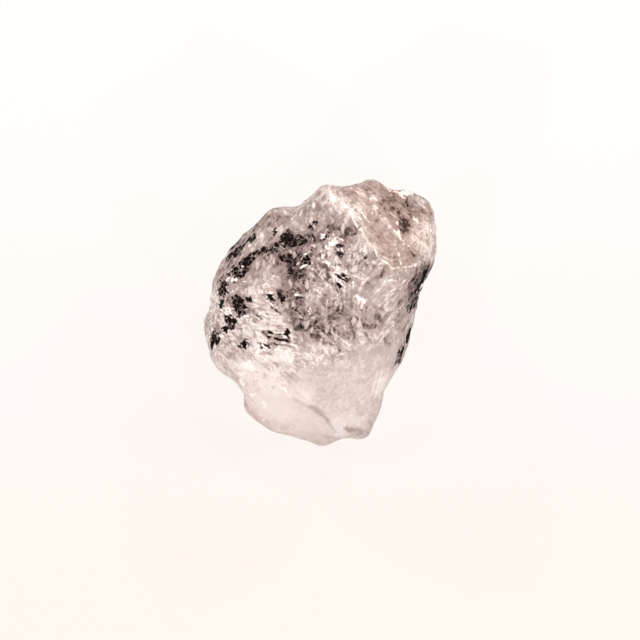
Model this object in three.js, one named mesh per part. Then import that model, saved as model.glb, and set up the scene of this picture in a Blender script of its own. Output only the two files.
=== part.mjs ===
// A rough morganite crystal of about 38 carats, as one broken fragment lying on its flat back.
//
// Units are millimetres, +Z is up. The origin is at the middle of the fragment's underside. +Y runs along
// the crystal's length, towards its blunt end, and the striated growth faces are on the +X side.
//
// The stone is made the way the real one was. A closed body with the stone's outline is cleaved by faces,
// and each face has its own finish of striations or of shallow dishes that meet in ridges. Every shape is a
// function that is negative inside the stone, and the surface is where the largest of them crosses zero.

import * as THREE from "three";
import { mergeVertices } from "three/addons/utils/BufferGeometryUtils.js";

// Driving dimensions
const CROWN_HEIGHT = 15.6; // highest point that the closed body could reach, above the resting face
const WAIST_HEIGHT = 6.9; // where the outline below is widest
const UNDER_DEPTH = 10.5; // how far below the waist the closed body would reach, without a resting face
const BODY_FULLNESS = 2.5; // 2 is an ellipsoid, higher is boxier
const MESH_STEPS = 19; // each edge of the starting icosahedron is cut into one more than this

// The outline seen from above, in order round the stone from the peak, as [x, y].
const OUTLINE = [
  [0.4, 10.2], [1.5, 9.9], [2.7, 10.2], [3.8, 10.6], [4.8, 10.4], [5.6, 9.9], [7.7, 9.7], [8.7, 9.1],
  [9.3, 8.3], [9.4, 7.2], [9.3, 6.1], [9.3, 4.9], [9, 3.9], [8.4, 2.6], [7.8, 1.0], [7.4, -0.4],
  [7.2, -2.0], [6.5, -3.8], [5.8, -4.9], [5.1, -6.2], [4.7, -7.5], [4.2, -8.8], [3.8, -9.9], [2.9, -10.2],
  [1.5, -10.1], [0, -10.7], [-1.6, -10.3], [-3.3, -9.8], [-4.8, -9.3], [-5.9, -8.6], [-6.4, -7.8],
  [-6.2, -6.7], [-6.9, -5.6], [-7.9, -4.8], [-8.7, -3.7], [-9.2, -2.9], [-9.5, -1.8], [-9.2, -0.9],
  [-8.8, 1.0], [-8.7, 2.2], [-8.2, 3.5], [-6.9, 5.7], [-4.9, 7.4], [-4.0, 8.0], [-2.8, 8.3],
  [-1.6, 8.4], [-0.6, 9.3],
];

// Corners that the sharpest ridges meet in.
const APEX = [5.4, 3.3, 13.6];
const FRONT_CREST = [3.3, -2.6, 13.8];
const PRISM_CREST = [6.5, 0.1, 12.4];

// Directions that striations and broken relief run along.
const CRYSTAL_AXIS = new THREE.Vector3(-0.35, -0.94, -0.05).normalize();
const RIDGE_AXIS = new THREE.Vector3(0.56, -0.78, 0.28).normalize();

// The kinds of relief that a finish is mixed from, all made of dishes.
const RELIEF = {
  lumps: dishes({ size: 4.4, stretch: 1.2, axis: RIDGE_AXIS }),
  chips: dishes({ size: 2.6, stretch: 1.2, axis: CRYSTAL_AXIS }),
  hackle: dishes({ size: 1.4, stretch: 1.5, axis: RIDGE_AXIS }),
  splinters: dishes({ size: 1.5, stretch: 4, axis: RIDGE_AXIS }),
  striations: dishes({ size: 0.9, stretch: 12, axis: CRYSTAL_AXIS }),
};
const HACKLY = { lumps: 0.3, chips: 0.35, hackle: 0.45 };
const SPLINTERY = { lumps: 0.25, chips: 0.15, splinters: 0.45 };
const STREAKY = { lumps: 0.3, chips: 0.15, striations: 0.4 };
const STRIATED = { lumps: 0.15, striations: 0.5 };
const SMOOTH = { lumps: 0.22, chips: 0.1 };
const SHELLY = { lumps: 0.45, chips: 0.25, hackle: 0.12 };
const CHIPPED = { chips: 0.3, hackle: 0.35 };

// The faces in the order they are cleaved: the way each one faces, a point on it, its finish, and how
// rounded its edges are with the faces before it.
const FACES = [
  { facing: [-0.27, 0.27, 0.92], through: APEX, finish: HACKLY, round: 1.2 }, // crown
  { facing: [0.35, -0.2, 0.91], through: APEX, finish: STREAKY, round: 0.8 }, // right flank
  { facing: [-0.07, -0.55, 0.83], through: FRONT_CREST, finish: SMOOTH, round: 1.4 }, // front
  { facing: [-0.43, -0.52, 0.74], through: [-2, -2.6, 13.3], finish: SMOOTH, round: 1 }, // front left
  { facing: [0.5, -0.52, 0.72], through: FRONT_CREST, finish: STRIATED, round: 0.8 }, // front right prism
  { facing: [-0.28, -0.7, 0.66], through: [-2.8, -5.7, 11.2], finish: SMOOTH, round: 0.4 }, // toe
  { facing: [0.3, -0.8, 0.5], through: [3.8, -9.8, 7.6], finish: HACKLY, round: 0.3 }, // chipped corner
  { facing: [-0.7, 0.5, 0.51], through: [-6, 5, 10], finish: HACKLY, round: 1 }, // upper left bevel
  { facing: [-0.85, 0.05, 0.52], through: [-7.6, 0, 10.6], finish: HACKLY, round: 1 }, // left bevel
  { facing: [0.9, -0.36, 0.24], through: PRISM_CREST, finish: STRIATED, round: 0.3 }, // right edge prism
  { facing: [0.36, 0.62, 0.7], through: APEX, finish: SPLINTERY, round: 0.1 }, // blunt end
  { facing: [0.05, -0.75, -0.66], through: [0, -6.2, 0], finish: SHELLY, round: 0.8 }, // under the toe
  { facing: [0.8, -0.15, -0.58], through: [5.3, 0, 0], finish: SHELLY, round: 0.5 }, // under the flank
  { facing: [0.12, 0.86, -0.5], through: [0, 7.9, 0], finish: SHELLY, round: 0.7 }, // under the blunt end
  { facing: [-0.74, 0.1, -0.66], through: [-5.5, 0, 0], finish: SHELLY, round: 0.6 }, // under the left
  { facing: [-0.5, -0.62, -0.6], through: [-4.4, -4.8, 0], finish: SHELLY, round: 0.9 }, // under front left
  { facing: [-0.6, 0.6, -0.52], through: [-4.4, 5.4, 0], finish: SHELLY, round: 0.5 }, // under upper left
  { facing: [0.58, -0.6, -0.55], through: [4, -5, 0], finish: SHELLY, round: 0.6 }, // under front right
];

// The inner point that every part of the surface can be seen from, and how the surface is found from it.
const CORE = new THREE.Vector3(0, 0, WAIST_HEIGHT);
const NEAREST_REACH = 3;
const FARTHEST_REACH = 16;
const MARCH_STEP = 0.3;
const BISECTIONS = 16;
const CREASE_ROUNDS = 2;
const CREASE_BISECTIONS = 6;

// A repeatable random number from 0 to 1 for a cell of a grid.
function cellRandom(...cell) {
  const stir = (hash, n) => {
    const stirred = Math.imul(hash ^ n, 0x2c1b3c6d);
    return stirred ^ (stirred >>> 15);
  };
  return (stir(cell.reduce(stir, 1), 0) >>> 0) / 2 ** 32;
}

// Shallow dishes that meet in sharp ridges, drawn out along an axis. The function returned gives how deep a
// point lies in its dish, in millimetres about a mean near zero, and which dish that is.
function dishes({ size, stretch, axis }) {
  const HOLLOW = 0.6;
  const LIFT = 0.25;
  const MEAN = 0.28;
  const cells = new Map();
  const cell = (x, y, z) => {
    const key = ((x + 64) * 128 + y + 64) * 128 + z + 64;
    if (!cells.has(key)) {
      const centre = new THREE.Vector3(...[x, y, z].map((corner, i) => corner + cellRandom(x, y, z, i)));
      cells.set(key, { key, centre, lift: LIFT * cellRandom(x, y, z, 3) });
    }
    return cells.get(key);
  };
  return (p) => {
    const q = p.clone().addScaledVector(axis, p.dot(axis) * (1 / stretch - 1)).divideScalar(size);
    let height = Infinity;
    let key = 0;
    for (let i = 0; i < 27; i += 1) {
      const x = Math.floor(q.x) + (i % 3) - 1;
      const y = Math.floor(q.y) + (Math.floor(i / 3) % 3) - 1;
      const z = Math.floor(q.z) + Math.floor(i / 9) - 1;
      const { centre, lift, key: found } = cell(x, y, z);
      const away = q.clone().sub(centre).lengthSq();
      const here = lift + HOLLOW * away;
      if (here < height) {
        height = here;
        key = found;
      }
    }
    return { depth: (MEAN - height) * size, key };
  };
}

// The larger of two values, with the crease between them rounded.
function roundedMax(a, b, round) {
  const blend = Math.max(round - Math.abs(a - b), 0) / round;
  return Math.max(a, b) + (blend * blend * round) / 4;
}

// The outline's radius by direction, from a smooth closed curve through its points. Where blur is 1 its
// bumps are averaged away.
function outlineRadius() {
  const STEPS = 720;
  const BLUR_STEPS = 50;
  const points = OUTLINE.map(([x, y]) => new THREE.Vector3(x, y, 0));
  const curve = new THREE.CatmullRomCurve3(points, true, "centripetal");
  const wrap = (step) => ((step % STEPS) + STEPS) % STEPS;
  const sharp = new Array(STEPS);
  curve.getPoints(STEPS * 8).forEach((p) => {
    sharp[wrap(Math.round((Math.atan2(p.y, p.x) / (2 * Math.PI)) * STEPS))] = Math.hypot(p.x, p.y);
  });
  const blurred = sharp.map((_, i) => {
    let sum = 0;
    for (let j = -BLUR_STEPS; j <= BLUR_STEPS; j += 1) sum += sharp[wrap(i + j)];
    return sum / (2 * BLUR_STEPS + 1);
  });
  return (angle, blur) => {
    const place = (angle / (2 * Math.PI)) * STEPS;
    const i = Math.floor(place);
    const at = (step) => THREE.MathUtils.lerp(sharp[wrap(step)], blurred[wrap(step)], blur);
    return THREE.MathUtils.lerp(at(i), at(i + 1), place - i);
  };
}

// How far outside the stone a point lies, and the face and the dishes that decide it.
function stoneField() {
  const WAIST_SLOPE = new THREE.Vector2(-0.12, 0.05);
  const WALL_DEPTH = 0.05; // mean depth of the waist's dishes below the outline
  const radius = outlineRadius();
  const planes = FACES.map(({ facing, through, ...rest }) => {
    const normal = new THREE.Vector3(...facing).normalize();
    return { normal, offset: normal.dot(new THREE.Vector3(...through)), ...rest };
  });

  // The closed rounded body. Its relief fades out towards the waist, and nothing reaches past the outline.
  const body = (p, relief) => {
    const above = p.z - WAIST_HEIGHT - WAIST_SLOPE.x * p.x - WAIST_SLOPE.y * p.y;
    const fade = Math.min(Math.abs(above) / 3, 1);
    const angle = Math.atan2(p.y, p.x);
    const across = Math.hypot(p.x, p.y) / radius(angle, fade);
    const rise = Math.abs(above) / (above > 0 ? CROWN_HEIGHT - WAIST_HEIGHT : UNDER_DEPTH);
    const reach = (across ** BODY_FULLNESS + rise ** BODY_FULLNESS) ** (1 / BODY_FULLNESS);
    const carved = reach * WAIST_HEIGHT + fade * fade * mixed(above > 0 ? HACKLY : SHELLY, relief);
    const pastOutline = Math.hypot(p.x, p.y) - radius(angle, 0) + WALL_DEPTH + mixed(CHIPPED, relief);
    return Math.max(carved - WAIST_HEIGHT, pastOutline);
  };

  const mixed = (finish, relief) =>
    Object.entries(finish).reduce((sum, [kind, share]) => sum + share * relief(kind).depth, 0);

  return (p) => {
    const found = {};
    const relief = (kind) => (found[kind] ??= RELIEF[kind](p));
    let value = body(p, relief);
    let key = `body ${relief("lumps").key} ${relief("hackle").key}`;
    planes.forEach(({ normal, offset, finish, round }, i) => {
      const level = normal.dot(p) - offset;
      if (level < value - 4) return;
      const height = level + mixed(finish, relief);
      if (height > value) key = [i, ...Object.keys(finish).map((kind) => relief(kind).key)].join(" ");
      value = roundedMax(value, height, round);
    });
    if (-p.z > value) return { value: -p.z, key: "resting face" };
    return { value, key };
  };
}

// The point where a ray from the core leaves the stone.
function surfacePoint(field, direction) {
  const at = (distance) => CORE.clone().addScaledVector(direction, distance);
  let outer = NEAREST_REACH;
  while (outer < FARTHEST_REACH && field(at(outer)).value < 0) outer += MARCH_STEP;
  let inner = outer - MARCH_STEP;
  for (let i = 0; i < BISECTIONS; i += 1) {
    const middle = (inner + outer) / 2;
    if (field(at(middle)).value < 0) inner = middle;
    else outer = middle;
  }
  const point = at(inner);
  return { point, key: field(point).key };
}

// Moves each vertex that lies near a crease onto it, so that the ridges are sharp.
function snapToCreases(field, edges, hits) {
  const targets = hits.map(() => []);
  edges.forEach(([a, b]) => {
    if (hits[a].key === hits[b].key) return;
    let low = 0;
    let high = 1;
    for (let i = 0; i < CREASE_BISECTIONS; i += 1) {
      const middle = (low + high) / 2;
      if (field(hits[a].point.clone().lerp(hits[b].point, middle)).key === hits[a].key) low = middle;
      else high = middle;
    }
    targets[high < 0.5 ? a : b].push(hits[a].point.clone().lerp(hits[b].point, high));
  });
  targets.forEach((points, i) => {
    if (!points.length) return;
    const middle = new THREE.Vector3();
    points.forEach((point) => middle.add(point));
    middle.divideScalar(points.length);
    hits[i] = surfacePoint(field, middle.sub(CORE).normalize());
  });
}

function edgesOf(index) {
  const edges = new Map();
  for (let i = 0; i < index.count; i += 1) {
    const a = index.getX(i);
    const b = index.getX(i % 3 === 2 ? i - 2 : i + 1);
    edges.set(Math.min(a, b) * index.count + Math.max(a, b), [a, b]);
  }
  return [...edges.values()];
}

// The stone's surface as one closed mesh, with the origin at the middle of its underside.
function crystalGeometry() {
  const sphere = new THREE.IcosahedronGeometry(1, MESH_STEPS);
  sphere.deleteAttribute("normal");
  sphere.deleteAttribute("uv");
  const geometry = mergeVertices(sphere, 1e-5);
  const position = geometry.getAttribute("position");
  const field = stoneField();
  const hits = [];
  for (let i = 0; i < position.count; i += 1) {
    hits.push(surfacePoint(field, new THREE.Vector3().fromBufferAttribute(position, i).normalize()));
  }
  const edges = edgesOf(geometry.index);
  for (let i = 0; i < CREASE_ROUNDS; i += 1) snapToCreases(field, edges, hits);
  hits.forEach(({ point }, i) => position.setXYZ(i, point.x, point.y, point.z));
  geometry.computeBoundingBox();
  const middle = geometry.boundingBox.getCenter(new THREE.Vector3());
  return geometry.translate(-middle.x, -middle.y, -geometry.boundingBox.min.z);
}

const group = new THREE.Group();
const material = new THREE.MeshStandardMaterial({ color: 0xd8c2bb, roughness: 0.35, metalness: 0 });
const crystal = new THREE.Mesh(crystalGeometry(), material);
crystal.name = "crystal";
group.add(crystal);

export default group;
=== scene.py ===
"""A rough morganite crystal of about 38 carats, dressed over its CAD solid.

The solid gives the stone's form. This script gives it the fine broken surface, the clear pinkish body with
its pale veils, its black marks of painted dark reflections and its painted highlights and glints, and the
light table that it is seen on. Lengths are in millimetres until they reach Blender, whose units are metres.
X, Y and Z are the frame's axes, and the stone is seen from above.
"""

import math

import bmesh
import bpy
import numpy as np
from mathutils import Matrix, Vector


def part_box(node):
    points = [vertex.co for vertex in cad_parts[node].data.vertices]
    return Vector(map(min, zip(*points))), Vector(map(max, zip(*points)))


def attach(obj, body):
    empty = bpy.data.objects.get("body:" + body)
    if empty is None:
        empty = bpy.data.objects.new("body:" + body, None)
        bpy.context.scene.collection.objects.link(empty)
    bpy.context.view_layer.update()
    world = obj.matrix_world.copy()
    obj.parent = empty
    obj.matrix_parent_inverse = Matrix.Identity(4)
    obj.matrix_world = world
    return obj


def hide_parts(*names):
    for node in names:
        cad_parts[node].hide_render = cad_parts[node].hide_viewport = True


MM = 0.001

# The view: straight down on the stone, as the photograph is.
FRAME_WIDTH = 50.24  # how much of the table the frame shows across, at the height of the outline
AIM = (-0.04, -0.59)  # the point in the middle of the frame
OUTLINE_HEIGHT = 6.9  # how high the stone's outline, as seen from above, lies over the table
LENS = 135.0
SENSOR = 36.0
CLIP_NEAR = 10.0
CLIP_FAR = 10000.0

# The mesh
WELD = 0.0001  # corners closer than this become one
SHARP_CREASE = math.radians(50)  # edges that bend this much stay sharp
SOFT_CREASE = math.radians(12)  # and edges that bend no more than this are fully smoothed
SUBDIVISIONS = 2

# The stone breaks into shards and into fibres that run one of four ways. Each region says which way its
# fibres run, how strong they are, and how much its shards differ from each other.
WAYS = {
    "east": (0.95, -0.31, 0.0),
    "southeast": (0.74, -0.67, 0.0),
    "northeast": (0.66, 0.75, 0.0),
    "north": (0.38, 0.92, 0.0),
}
REGIONS = (
    {"at": (-5.0, 4.4, 8.0), "way": "northeast", "fibres": 0.4, "contrast": 0.9},
    {"at": (-4.6, -1.6, 8.0), "way": "east", "fibres": 1.1, "contrast": 0.8},
    {"at": (-1.4, 2.4, 9.0), "way": "southeast", "fibres": 0.25, "contrast": 0.95},
    {"at": (1.6, 3.0, 10.0), "way": "southeast", "fibres": 0.8, "contrast": 1.15},
    {"at": (1.2, 6.4, 10.0), "way": "north", "fibres": 0.2, "contrast": 1.0},
    {"at": (0.8, -0.6, 10.0), "way": "southeast", "fibres": 0.5, "contrast": 0.95},
    {"at": (5.2, 1.0, 9.0), "way": "northeast", "fibres": 0.6, "contrast": 0.6},
    {"at": (4.4, 6.8, 9.0), "way": "southeast", "fibres": 0.4, "contrast": 0.8},
    {"at": (7.8, 2.0, 8.0), "way": "north", "fibres": 0.9, "contrast": 0.6},
    {"at": (2.5, -5.5, 8.0), "way": "north", "fibres": 0.13, "contrast": 0.12},
    {"at": (-2.5, -7.5, 6.0), "way": "southeast", "fibres": 0.08, "contrast": 0.08},
    {"at": (-5.2, -4.6, 7.0), "way": "southeast", "fibres": 0.5, "contrast": 0.45},
)
REGION_BLEND = 2.0  # square millimetres over which one region gives way to the next
HEIGHT_WEIGHT = 0.3  # how much height counts in which region is nearest
BORDER_REACH = 2.4  # how far the bumps in the borders between the regions reach
FIBRE_STRETCH = 7.0  # how much longer than wide the fibres are

# Smooth noises: the size of their bumps, and the seed that tells each of them from the others.
FRONT_EDGE_NOISE = (2.2, 5)
CROOK_NOISE = (0.45, 20)
LEDGE_LINE_NOISE = (1.5, 31)
WANDER_NOISE = (3.0, 32)
BREAK_UP_NOISE = (1.3, 33)
LEDGE_DEPTH_NOISE = (1.8, 34)
RAGGED_END_NOISE = (1.1, 35)
BORDER_NOISE = (2.6, 40)

# The broken surface is covered in dishes of two sizes. Their depth is a share of their size.
RELIEF = (
    {"size": 1.5, "depth": 0.42, "seed": 11},
    {"size": 0.7, "depth": 0.34, "seed": 12},
)
DISH_STRETCH = 1.8  # how much longer than wide the dishes are
DISH_STEEPNESS = 0.6  # how fast a dish rises from its bottom
DISH_LIFT = 0.25  # how much higher than others a dish's bottom can lie, in dish sizes
DISH_RIM = 0.55  # how high a dish goes before it leaves the surface as it is, in dish sizes

# The pale front is smooth. Seen from above, it lies below an edge that wanders up and down.
FRONT_EDGE = -2.6
FRONT_SLOPE = 0.12  # how much the edge rises from left to right
FRONT_WANDER = 0.9
FRONT_BLEND = 0.8  # how far the change from smooth to broken reaches to either side
FRONT_FOOT = (2.5, 5.5)  # the heights between which the broken foot of the walls gives way to it
FRONT_SMOOTHNESS = 0.8  # how much less broken it is

# Growth lines, or striations, run along the stone's length.
STRIATION_AXIS = np.array([-0.35, -0.94, -0.05])
STRIATION_SPACING = 0.42
STRIATION_STRETCH = 14  # how much longer than wide they are
STRIATION_SEED = 13
STRIATION_DEPTH = 0.035
STRIATION_LOSS = 0.5  # how much shallower they are where the stone is broken

# Ledges on the steep flat face on the right
PRISM_NORMAL = np.array([0.92, -0.37, 0.1])
PRISM_FACING = (0.7, 0.9)  # how nearly a surface has to face that way to get them
LEDGE_HEIGHT = 1.1
LEDGE_DEPTH = 0.26
LEDGE_WANDER = 2.2  # how far their lines wander up and down, in ledge heights
LEDGE_STRETCH = 3  # and how much longer than high these bends are

# The parts of the stone are told apart by how far the surface faces up (1) or down (-1), and by height. Each
# pair says where a part begins, and where it is full.
TOP_FACING = (-0.1, 0.1)
WALL_FACING = (0.5, 0.2)
UNDER_FACING = (0.2, 0.6)  # the same for how far it faces down
LOW_HEIGHTS = (7.5, 3.0)
LOW_LOSS = {"fibres": 0.6, "contrast": 0.7, "shade": 0.25, "shade strokes": 0.8}  # what is lost low down
UNDER_LOSS = 0.6  # how much of its shade the underside loses
WALL_LOSS = 0.85  # how much the strokes of shade lose where the marks on a wall have faded out

# The edges of the marks are crooked, and the marks run out to blunt points.
CROOK_REACH = 0.25
TAPER = 0.3  # how much narrower a mark is at its ends than in its middle
FAR_OUTSIDE = -1.0  # further outside the marks than this is all the same

# Where the marks run down a wall they lean over and wander along the striations, and break up.
LEAN = 0.22
LEAN_TOP = 9.0
WANDER = 4.5
BREAK_UP = 0.3
MARKS_END = (7.6, 5.6)  # the heights between which they fade out
RAGGED_END = 3.6  # how far that end moves up and down
RAGGED_STRETCH = 0.5  # below 1, so that it moves faster along the striations
HIDE_LOW = 0.8  # how far a mark's edge moves in below that end, so that hardly any is left
HIDE_UNDER = 0.6  # and how far where the surface faces down

# Marks seen from above: each is a stroke from one point to another, and its width: x, y, x, y, width.
# Black marks, painted where the clear stone shows dark internal reflections:
BLACK = (
    # outer arc, inside the upper left rim
    (-5.6, 5.55, -5.2, 5.75, 0.48), (-5.95, 5.2, -6.3, 4.75, 0.44), (-6.45, 4.6, -6.65, 4.35, 0.44),
    (-6.9, 4.7, -7.15, 4.0, 0.22), (-6.75, 5.2, -6.95, 4.95, 0.26),
    # inner arc, from the crown down to the left edge
    (-2.66, 6.28, -2.6, 5.95, 0.56), (-2.9, 5.63, -2.26, 5.7, 0.92), (-2.35, 5.4, -2.2, 5.05, 0.43),
    (-2.95, 5.15, -2.7, 5.1, 0.29), (-1.74, 5.7, -1.28, 5.63, 0.54), (-1.75, 5.25, -1.4, 5.3, 0.35),
    (-3.38, 5.2, -3.44, 4.75, 0.42), (-3.75, 4.85, -3.6, 4.6, 0.3), (-4.95, 4.6, -4.6, 4.75, 0.38),
    (-4.6, 4.8, -4.1, 4.8, 0.4), (-5.4, 4.3, -6.0, 3.7, 0.58), (-6.75, 3.2, -6.35, 2.85, 0.68),
    (-6.15, 3.7, -5.85, 3.2, 0.62), (-6.3, 2.95, -5.9, 2.95, 0.48), (-7.05, 3.0, -7.6, 2.65, 0.36),
    (-7.55, 2.3, -7.45, 1.7, 0.56), (-7.8, 1.7, -7.2, 1.55, 0.44), (-7.0, 2.3, -6.7, 2.4, 0.28),
    (-3.6, 6.25, -3.5, 6.4, 0.34), (-1.05, 4.45, -0.85, 3.95, 0.43), (-1.7, 3.95, -1.1, 4.15, 0.31),
    (-2.4, 3.05, -2.2, 3.2, 0.3),
    # left edge
    (-6.7, 1.1, -6.2, 0.95, 0.56), (-6.55, 0.6, -6.4, 0.15, 0.64), (-5.8, 1.2, -5.4, 0.9, 0.48),
    (-6.2, 0.75, -5.8, 0.4, 0.5), (-6.3, -0.1, -5.8, -0.1, 0.44), (-7.56, 0.85, -7.6, 0.4, 0.32),
    (-7.15, 0.25, -7.05, 0.15, 0.34), (-7.35, -0.1, -7.0, -0.75, 0.48), (-6.95, -0.3, -6.6, -0.9, 0.46),
    (-7.4, -1.2, -6.8, -1.3, 0.5), (-8.2, -1.4, -8.35, -2.05, 0.48), (-7.9, -1.6, -8.05, -2.3, 0.4),
    (-8.4, -2.2, -8.5, -2.8, 0.26), (-6.2, -2.6, -5.8, -2.42, 0.48), (-6.1, -2.75, -5.95, -2.75, 0.34),
    # the knot at the end of the fan of streaks on the left side
    (-2.55, -1.35, -2.5, -1.7, 0.34),
    # middle
    (-4.0, 1.25, -3.65, 1.0, 0.46), (-3.25, 1.4, -2.85, 0.85, 0.4), (-1.5, -0.8, -1.35, -1.1, 0.28),
    (-1.75, 0.05, -1.35, -0.05, 0.36), (-0.6, 5.9, -0.5, 5.6, 0.29), (-0.8, 6.5, -0.7, 6.5, 0.3),
    (-0.35, 6.9, -0.35, 6.9, 0.28), (1.2, 2.95, 1.5, 2.75, 0.28), (1.6, 2.75, 2.1, 2.5, 0.26),
    (1.35, 3.6, 1.55, 3.6, 0.27), (0.35, 5.6, 0.5, 6.1, 0.24), (1.2, 5.05, 1.7, 5.05, 0.24),
    (1.25, 2.1, 1.5, 1.95, 0.24),
    # right edge
    (8.4, 3.1, 7.9, 2.6, 0.58), (7.9, 2.5, 7.3, 1.6, 0.62), (8.2, 2.4, 7.9, 2.0, 0.5),
    (8.1, 1.9, 7.9, 1.0, 0.56), (7.6, 1.5, 7.0, 0.4, 0.58), (7.1, 1.2, 6.7, 0.3, 0.52),
    (7.05, -1.5, 6.8, -2.3, 0.58), (6.6, -2.6, 6.1, -3.1, 0.52), (6.45, -3.2, 6.4, -3.7, 0.58),
    (6.2, -3.6, 6.1, -4.0, 0.5),
)
# Smudges, round the black marks and between them:
DUSKY = (
    # left and middle
    (-7.0, 4.9, -6.2, 4.6, 0.6), (-5.9, 5.7, -5.2, 5.6, 0.5), (-6.9, 4.6, -7.1, 3.9, 0.4),
    (-5.0, 4.4, -4.2, 4.9, 0.4), (-2.9, 5.5, -2.3, 5.4, 0.9), (-1.9, 5.5, -1.2, 5.6, 1.0),
    (-2.8, 4.2, -2.1, 4.1, 0.9), (-1.6, 3.9, -0.9, 4.3, 0.8), (-2.4, 3.3, -2.2, 3.0, 0.5),
    (-1.4, 2.6, -1.1, 2.6, 0.5), (-1.8, 1.9, -1.6, 1.6, 0.4), (-3.2, 1.7, -2.9, 0.9, 0.5),
    (-6.6, 1.0, -5.9, 0.2, 1.1), (-5.7, 0.2, -5.4, 0.0, 0.4), (-7.1, 0.8, -6.9, 0.7, 0.5),
    (-8.1, -0.6, -8.0, -1.3, 0.4), (-7.3, -0.4, -6.8, -1.0, 0.6), (-6.2, -2.9, -6.0, -2.3, 0.4),
    (-7.9, 1.9, -7.4, 1.9, 0.8), (-8.2, 1.9, -8.1, 2.0, 0.3), (-8.4, -2.3, -8.5, -3.1, 0.2),
    (-4.0, -2.3, -3.2, -2.5, 0.35), (-4.4, -1.65, -3.3, -1.9, 0.14), (-3.6, -2.0, -2.4, -2.3, 0.12),
    (-1.8, 1.1, -1.1, 1.0, 0.2), (-1.9, -0.9, -1.1, -1.3, 0.5), (-2.2, -0.4, -1.8, -1.2, 0.4),
    (-1.6, 0.5, -1.4, 0.5, 0.3), (-0.8, -0.9, -0.1, -1.2, 0.4), (-0.9, -1.6, 0.2, -2.0, 0.4),
    (1.4, 6.6, 1.5, 6.3, 0.5), (2.0, 6.3, 2.4, 6.2, 0.6), (2.9, 5.6, 2.9, 5.5, 0.3),
    (1.0, 4.9, 1.5, 4.4, 0.5), (0.3, 3.4, 0.5, 3.3, 0.3), (0.4, 2.6, 0.6, 2.6, 0.35),
    (1.3, 2.9, 2.1, 2.6, 0.35), (1.3, 1.9, 1.6, 1.5, 0.2), (2.3, 1.2, 2.4, 1.1, 0.25),
    (1.2, 0.5, 1.3, 0.2, 0.25), (0.2, -1.1, 0.8, -1.6, 0.6), (2.5, -1.6, 2.6, -1.8, 0.25),
    (3.1, -1.1, 4.2, -1.0, 0.5), (4.2, 0.4, 4.6, 0.2, 0.4), (4.3, -0.2, 4.2, -0.8, 0.4),
    (3.2, 3.6, 4.6, 3.4, 0.4), (3.9, 2.4, 4.5, 2.7, 0.35), (2.8, 3.7, 3.3, 4.0, 0.2),
    (4.8, -2.0, 5.1, -2.4, 0.3), (5.8, -0.5, 5.9, -0.7, 0.35), (0.6, -2.4, 1.3, -2.9, 0.15),
    # upper right
    (3.3, 9.8, 4.2, 9.3, 0.4), (5.2, 9.3, 5.8, 9.1, 0.3), (4.8, 8.8, 4.8, 8.6, 0.4),
    (5.1, 8.1, 5.6, 8.0, 0.3), (6.4, 8.7, 6.7, 8.5, 0.45), (5.7, 7.7, 6.1, 7.4, 0.4),
    (6.2, 7.4, 6.4, 7.0, 0.4), (6.3, 6.3, 6.75, 6.85, 0.6), (5.9, 7.6, 6.2, 7.2, 0.3),
    (6.9, 7.8, 6.95, 7.6, 0.2), (8.0, 8.0, 8.05, 8.0, 0.25), (8.8, 8.2, 8.85, 7.8, 0.2),
    (7.3, 9.4, 7.5, 9.3, 0.4), (4.4, 7.2, 4.5, 7.0, 0.3), (5.3, 4.3, 5.7, 4.1, 0.4),
    (7.0, 4.6, 7.2, 4.5, 0.3), (3.7, 7.4, 3.9, 7.1, 0.2),
    # right edge
    (8.7, 3.8, 8.4, 3.2, 0.3), (7.0, 3.2, 7.4, 3.3, 0.3), (7.9, 3.7, 8.2, 3.6, 0.2),
    (8.4, 3.2, 7.4, 2.3, 0.5), (7.8, 2.4, 7.0, 1.2, 0.6), (8.0, 2.0, 7.8, 1.2, 0.3),
    (7.3, 1.0, 6.8, 0.2, 0.5), (7.1, -1.4, 6.9, -2.2, 0.3), (6.8, -2.3, 6.0, -3.0, 0.35),
    (6.4, -3.1, 6.1, -4.0, 0.25), (5.7, -3.9, 5.4, -4.15, 0.25),
    # lower left
    (-4.9, -5.3, -4.8, -5.3, 0.2), (-3.8, -5.7, -3.7, -5.7, 0.2), (-3.5, -4.0, -3.4, -4.5, 0.14),
    (-5.5, -3.4, -5.3, -3.6, 0.16), (-4.4, -4.9, -4.2, -5.1, 0.14),
)
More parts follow.
